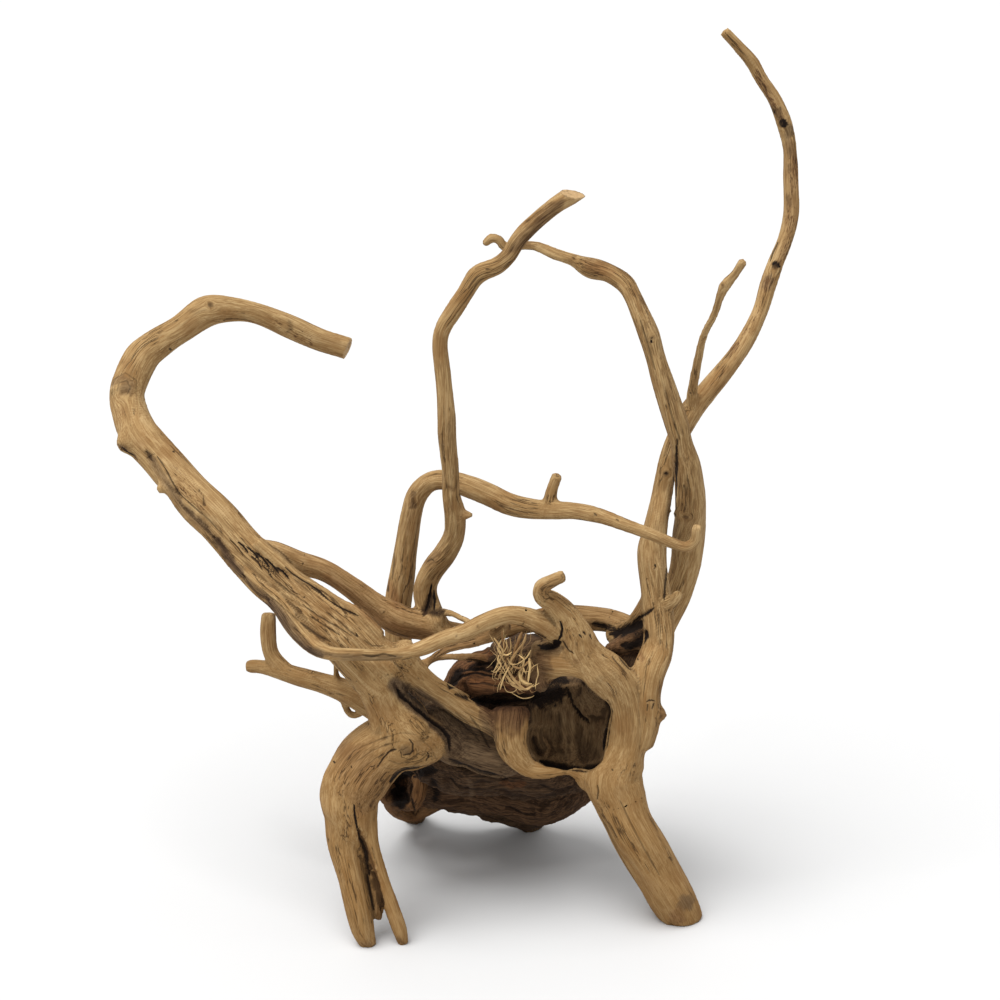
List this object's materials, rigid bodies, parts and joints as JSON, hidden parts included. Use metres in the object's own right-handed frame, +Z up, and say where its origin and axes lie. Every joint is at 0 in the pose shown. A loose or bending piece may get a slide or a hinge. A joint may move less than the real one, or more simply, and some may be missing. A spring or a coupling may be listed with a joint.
{
  "type": "driftwood branch",
  "caption": "Branching piece of bare driftwood that stands on legs below a hollow root crown, with a thick hooked limb to one side and slender curving limbs above.",
  "frame": {"origin": "on the floor, below the middle of the overall box", "axes": "+Z up, as it stands; +Y away from the side with the hollow; +X towards the tall limbs"},
  "size_m": [0.3503, 0.1618, 0.4333],
  "materials": {
    "debarked_wood": "bare weathered wood, tan with grey-brown and dark heartwood patches, matt",
    "wood_fibre": "loose straw-coloured wood fibres, matt"
  },
  "bodies": {
    "root": {"root_crown": "debarked_wood", "left_leg": "debarked_wood", "right_leg": "debarked_wood", "hook_limb": "debarked_wood", "crossing_root": "debarked_wood", "long_root": "debarked_wood", "front_upright": "debarked_wood", "back_arch_limb": "debarked_wood", "tall_limb": "debarked_wood", "tall_twig": "debarked_wood", "arch_limb": "debarked_wood", "curl_stub": "debarked_wood", "low_branch": "debarked_wood", "fibre_clump": "wood_fibre"}
  },
  "joints": []
}
